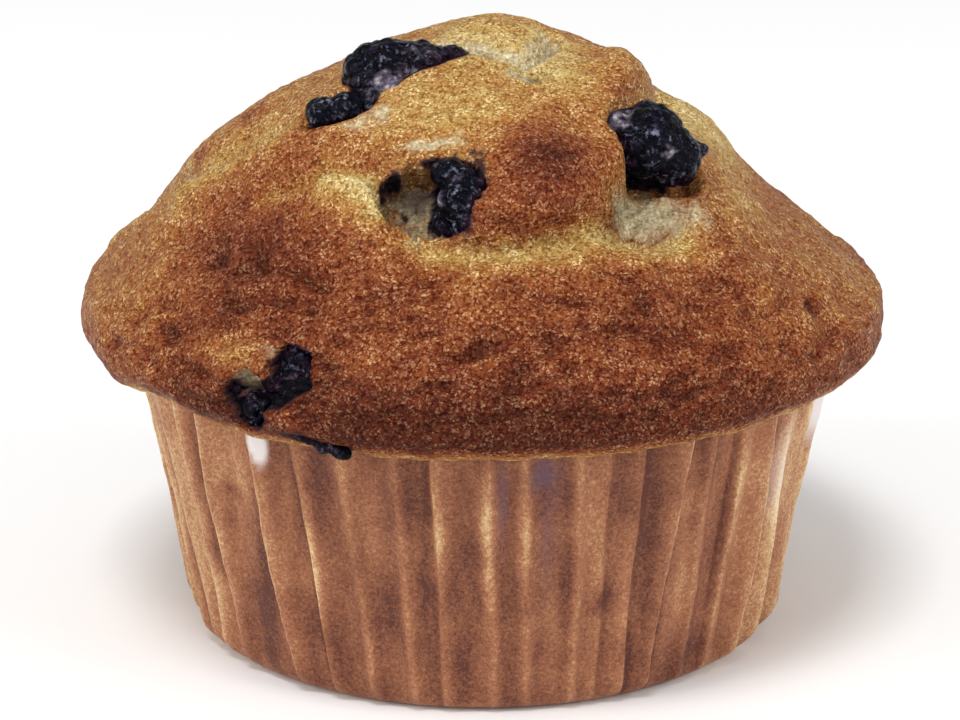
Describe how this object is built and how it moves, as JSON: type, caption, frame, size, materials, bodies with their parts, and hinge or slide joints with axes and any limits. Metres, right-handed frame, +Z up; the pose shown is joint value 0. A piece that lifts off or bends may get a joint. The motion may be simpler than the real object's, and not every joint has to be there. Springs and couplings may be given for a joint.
{
  "type": "muffin",
  "caption": "Blueberry muffin with a burst, golden-brown crown that hangs over its fluted paper case, and shrunken berries showing at the crown.",
  "frame": {"origin": "middle of the paper case's flat underside", "axes": "+Z up through the crown, -Y towards the side with the burst crown and most of the berries"},
  "size_m": [0.0753, 0.075, 0.0572],
  "materials": {
    "crust": "matte",
    "paper": "satin",
    "berry_skin": "satin"
  },
  "bodies": {
    "root": {"muffin_cake": "crust", "paper_case": "paper", "berry_top_left": "berry_skin", "berry_top_left_tail": "berry_skin", "berry_crater": "berry_skin", "berry_right": "berry_skin", "berry_lip_left": "berry_skin", "berry_under_lip": "berry_skin", "berry_rear": "berry_skin", "berry_rear_left": "berry_skin"}
  },
  "joints": []
}
